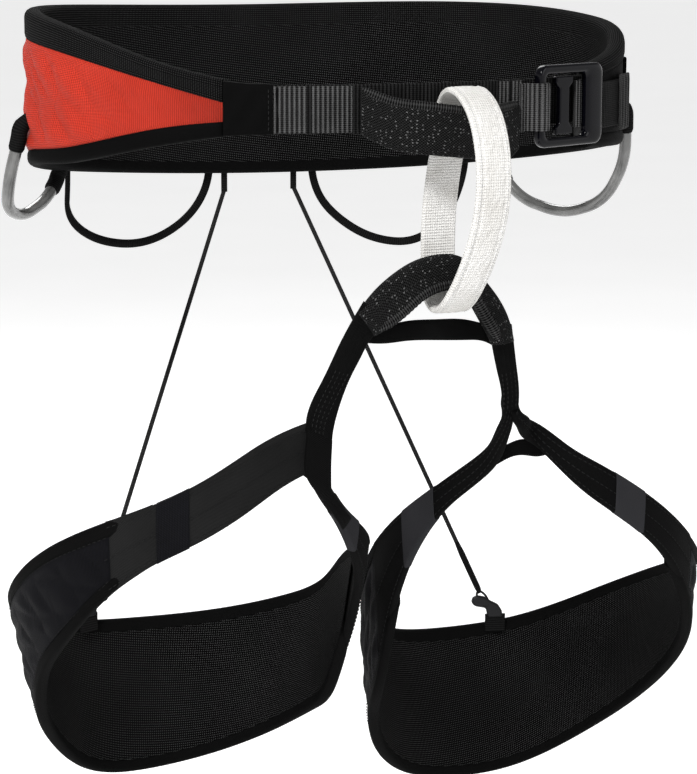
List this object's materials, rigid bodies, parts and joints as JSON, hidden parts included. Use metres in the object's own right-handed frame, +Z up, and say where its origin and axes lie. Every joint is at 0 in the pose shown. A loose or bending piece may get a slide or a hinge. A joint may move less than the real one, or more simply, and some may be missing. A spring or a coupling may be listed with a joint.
{
  "type": "climbing harness",
  "caption": "Climbing harness with a padded waist belt, white belay loop, textured bridge, two padded leg loops, gear loops and elastic rear risers.",
  "frame": {"origin": "centre of the waist ring, half way up the front webbing", "axes": "+X to the wearer's left, -Y to the wearer's front and the tie-in side, +Z up"},
  "size_m": [0.3574, 0.2669, 0.4204],
  "materials": {
    "orange_fabric": "woven nylon with embossed facets",
    "black_fabric": "smooth coated nylon",
    "foam": "closed-cell foam",
    "black_mesh": "knitted mesh",
    "black_binding": "knitted binding tape",
    "black_webbing": "flat woven webbing",
    "sleeve_fabric": "coarse abrasion-resistant weave",
    "grey_fabric": "coated reinforcement patch",
    "white_webbing": "white tubular webbing",
    "black_metal": "gloss black anodised",
    "grey_tube": "translucent grey tube",
    "black_cord": "braided cord",
    "elastic_cord": "braided elastic",
    "black_plastic": "moulded, satin"
  },
  "bodies": {
    "waist": {"waist_foam_core": "foam", "waist_inner_mesh": "black_mesh", "waist_top_binding": "black_binding", "waist_bottom_binding": "black_binding", "waist_outer_panel_right": "orange_fabric", "waist_lumbar_panel": "black_fabric", "waist_outer_panel_left": "orange_fabric", "buckle_side_plate": "black_fabric", "front_tab_right": "black_fabric", "waist_webbing": "black_webbing", "tie_in_sleeve": "sleeve_fabric", "webbing_tail": "black_webbing", "elastic_keeper": "black_fabric", "buckle_anchor_webbing": "black_webbing", "riser_anchor_left": "black_cord", "riser_anchor_right": "black_cord", "elastic_riser_left": "elastic_cord", "elastic_riser_right": "elastic_cord", "riser_end_sleeve_left": "elastic_cord", "riser_end_sleeve_right": "elastic_cord"},
    "buckle_frame": {"buckle_frame": "black_metal"},
    "buckle_slider": {"buckle_slider": "black_metal"},
    "belay_loop": {"belay_loop": "white_webbing"},
    "leg_assembly": {"bridge_sleeve_front": "sleeve_fabric", "bridge_sleeve_back": "sleeve_fabric", "bridge_webbing": "black_webbing", "crossbar_strap": "black_webbing", "leg_riser_left": "black_webbing", "leg_riser_right": "black_webbing"},
    "leg_loop_left": {"leg_panel_left": "black_mesh", "leg_foam_left": "foam", "leg_mesh_left": "black_mesh", "leg_top_binding_left": "black_binding", "leg_bottom_binding_left": "black_binding", "outer_strap_left": "black_webbing", "inner_strap_left": "black_webbing", "join_patch_left": "grey_fabric", "gusset_left": "black_mesh", "hook_tab_left": "black_cord", "riser_hook_left": "black_plastic"},
    "leg_loop_right": {"leg_panel_right": "black_mesh", "leg_foam_right": "foam", "leg_mesh_right": "black_mesh", "leg_top_binding_right": "black_binding", "leg_bottom_binding_right": "black_binding", "outer_strap_right": "black_webbing", "inner_strap_right": "black_webbing", "join_patch_right": "grey_fabric", "gusset_right": "black_mesh", "hook_tab_right": "black_cord", "riser_hook_right": "black_plastic"},
    "gear_front_left": {"gear_tube_front_left": "grey_tube", "gear_core_front_left": "black_cord"},
    "gear_front_right": {"gear_tube_front_right": "grey_tube", "gear_core_front_right": "black_cord"},
    "gear_rear_left": {"gear_loop_rear_left": "black_cord"},
    "gear_rear_right": {"gear_loop_rear_right": "black_cord"}
  },
  "joints": [
    {"name": "belay_loop_swing", "type": "hinge", "parent": "waist", "child": "belay_loop", "pos_m": [0.008, -0.121, -0.008], "axis": [1, 0, 0], "range_deg": [-12, 5], "stiffness_Nm_per_rad": 0.35},
    {"name": "leg_assembly_swing", "type": "hinge", "parent": "waist", "child": "leg_assembly", "pos_m": [0.008, -0.121, -0.008], "axis": [1, 0, 0], "range_deg": [-12, 5], "stiffness_Nm_per_rad": 4, "deforming": ["elastic_riser_left", "elastic_riser_right", "riser_end_sleeve_left", "riser_end_sleeve_right"]},
    {"name": "leg_loop_left_roll", "type": "hinge", "parent": "leg_assembly", "child": "leg_loop_left", "pos_m": [0.042, -0.117, -0.148], "axis": [0.3066, 0.7504, -0.5857], "range_deg": [-12, 4], "stiffness_Nm_per_rad": 1},
    {"name": "leg_loop_right_roll", "type": "hinge", "parent": "leg_assembly", "child": "leg_loop_right", "pos_m": [-0.058, -0.117, -0.145], "axis": [-0.259, 0.812, -0.5231], "range_deg": [-4, 12], "stiffness_Nm_per_rad": 1},
    {"name": "buckle_tilt", "type": "hinge", "parent": "waist", "child": "buckle_frame", "pos_m": [0.0958, -0.0938, -0.0018], "axis": [0, 0, 1], "range_deg": [0, 15]},
    {"name": "buckle_slide", "type": "slide", "parent": "buckle_frame", "child": "buckle_slider", "axis": [0.9304, 0.3665, 0], "range_m": [-0.003, 0.003]},
    {"name": "gear_front_left_swing", "type": "hinge", "parent": "waist", "child": "gear_front_left", "pos_m": [0.151, -0.0265, -0.014], "axis": [0.2785, -0.8921, 0.3558], "range_deg": [-3, 30], "stiffness_Nm_per_rad": 0.02},
    {"name": "gear_rear_left_swing", "type": "hinge", "parent": "waist", "child": "gear_rear_left", "pos_m": [0.1135, 0.0775, -0.0505], "axis": [0.9233, -0.3802, 0.0543], "range_deg": [-20, 40], "stiffness_Nm_per_rad": 0.005},
    {"name": "gear_front_right_swing", "type": "hinge", "parent": "waist", "child": "gear_front_right", "pos_m": [-0.1536, 0.016, -0.016], "axis": [0.5137, 0.7538, -0.4098], "range_deg": [-3, 30], "stiffness_Nm_per_rad": 0.02},
    {"name": "gear_rear_right_swing", "type": "hinge", "parent": "waist", "child": "gear_rear_right", "pos_m": [-0.111, 0.075, -0.0465], "axis": [0.9249, 0.37, -0.0873], "range_deg": [-20, 40], "stiffness_Nm_per_rad": 0.005}
  ],
  "couplings": [
    {"joint": "belay_loop_swing", "follows": "leg_assembly_swing", "ratio": 1}
  ]
}
